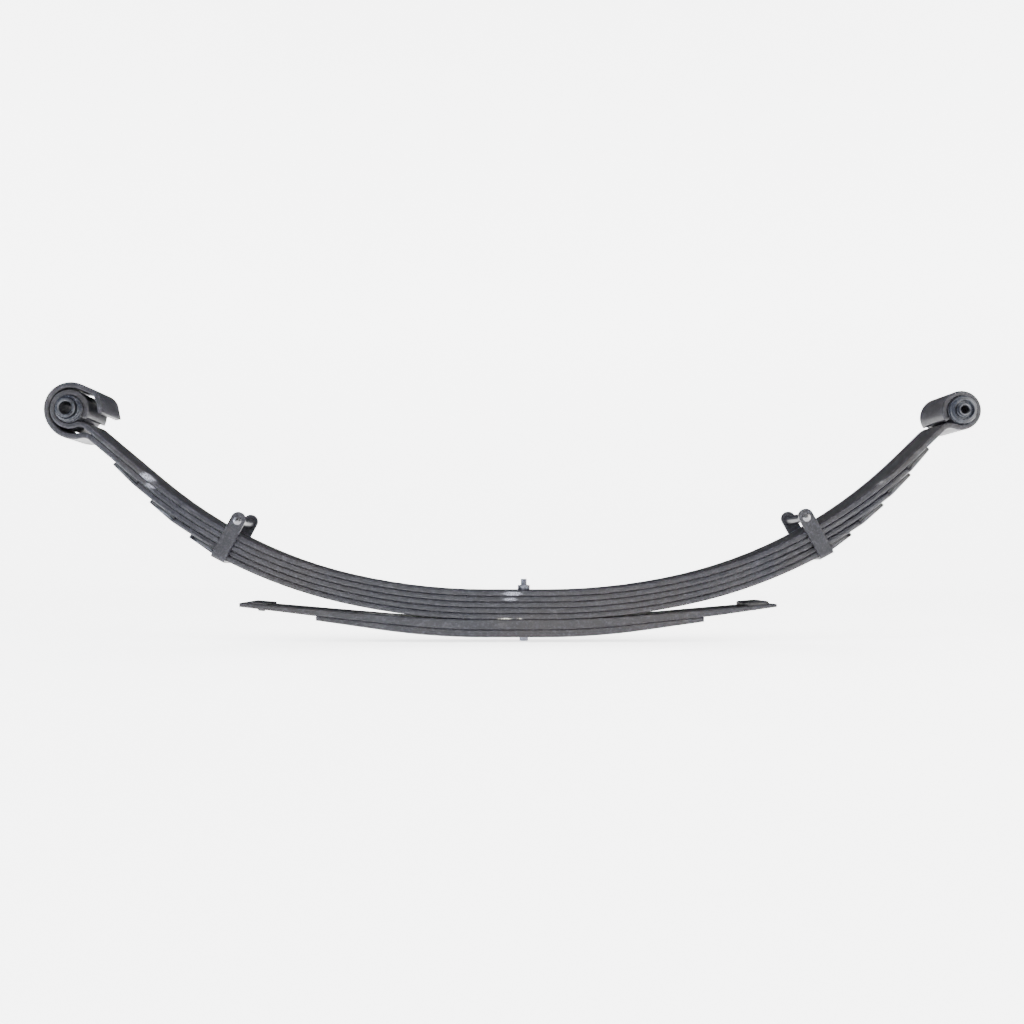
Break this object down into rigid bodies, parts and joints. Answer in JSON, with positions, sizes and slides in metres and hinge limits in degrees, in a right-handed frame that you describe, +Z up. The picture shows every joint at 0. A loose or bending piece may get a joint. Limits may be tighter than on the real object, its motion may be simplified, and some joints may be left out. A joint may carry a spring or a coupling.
{
  "type": "leaf spring",
  "caption": "Semi-elliptic leaf spring: black leaves over thicker helper leaves, rubber-bushed rolled eyes, one wrapped by the second leaf, two rebound clips and a centre bolt.",
  "frame": {"origin": "on the centre bolt's axis, at the underside of the lowest leaf, where the pack sits on the axle pad", "axes": "+X towards the plain rear eye, -X towards the wrapped front eye, +Y across the leaves, +Z up from the axle pad towards the eyes"},
  "size_m": [1.1458, 0.082, 0.3186],
  "materials": {
    "leaf_paint": "semi-gloss black",
    "helper_paint": "semi-gloss black",
    "clip_paint": "semi-gloss black",
    "bolt_steel": "zinc plated, dull",
    "pin_steel": "peened, worn bright",
    "shell_steel": "semi-gloss black",
    "sleeve_steel": "turned, dark oiled",
    "bush_rubber": "smooth, slightly glossy",
    "liner_plastic": "matt black"
  },
  "bodies": {
    "base": {"main_leaf": "leaf_paint", "second_leaf": "leaf_paint", "third_leaf": "leaf_paint", "fourth_leaf": "leaf_paint", "fifth_leaf": "leaf_paint", "upper_helper_leaf": "helper_paint", "lower_helper_leaf": "helper_paint", "centre_bolt": "bolt_steel", "centre_nut": "bolt_steel", "front_helper_pad": "liner_plastic", "rear_helper_pad": "liner_plastic"},
    "front_arm": {"front_bush_shell": "shell_steel", "front_bush_rubber": "bush_rubber", "front_clip_strap": "clip_paint", "front_clip_spacer": "clip_paint", "front_clip_pin": "pin_steel", "front_clip_base_rivet": "pin_steel", "front_third_tip_liner": "liner_plastic", "front_fourth_tip_liner": "liner_plastic", "front_fifth_tip_liner": "liner_plastic"},
    "rear_arm": {"rear_bush_shell": "shell_steel", "rear_bush_rubber": "bush_rubber", "rear_clip_strap": "clip_paint", "rear_clip_spacer": "clip_paint", "rear_clip_pin": "pin_steel", "rear_clip_base_rivet": "pin_steel", "rear_second_tip_liner": "liner_plastic", "rear_third_tip_liner": "liner_plastic", "rear_fourth_tip_liner": "liner_plastic", "rear_fifth_tip_liner": "liner_plastic"},
    "front_sleeve": {"front_bush_sleeve": "sleeve_steel"},
    "rear_sleeve": {"rear_bush_sleeve": "sleeve_steel"}
  },
  "joints": [
    {"name": "front_arm_flex", "type": "hinge", "parent": "base", "child": "front_arm", "pos_m": [-0.1374, 0, 0.048], "axis": [0, -1, 0], "range_deg": [-1, 8.5], "stiffness_Nm_per_rad": 4000, "deforming": ["main_leaf", "second_leaf", "third_leaf", "fourth_leaf", "fifth_leaf"]},
    {"name": "rear_arm_flex", "type": "hinge", "parent": "base", "child": "rear_arm", "pos_m": [0.1226, 0, 0.048], "axis": [0, 1, 0], "range_deg": [-1, 7.8], "stiffness_Nm_per_rad": 4000, "deforming": ["main_leaf", "second_leaf", "third_leaf", "fourth_leaf", "fifth_leaf"]},
    {"name": "front_sleeve_turn", "type": "hinge", "parent": "front_arm", "child": "front_sleeve", "pos_m": [-0.55688, 0, 0.27913], "axis": [0, 1, 0], "range_deg": [-20, 20], "stiffness_Nm_per_rad": 45},
    {"name": "rear_sleeve_turn", "type": "hinge", "parent": "rear_arm", "child": "rear_sleeve", "pos_m": [0.53356, 0, 0.27753], "axis": [0, 1, 0], "range_deg": [-20, 20], "stiffness_Nm_per_rad": 30}
  ]
}
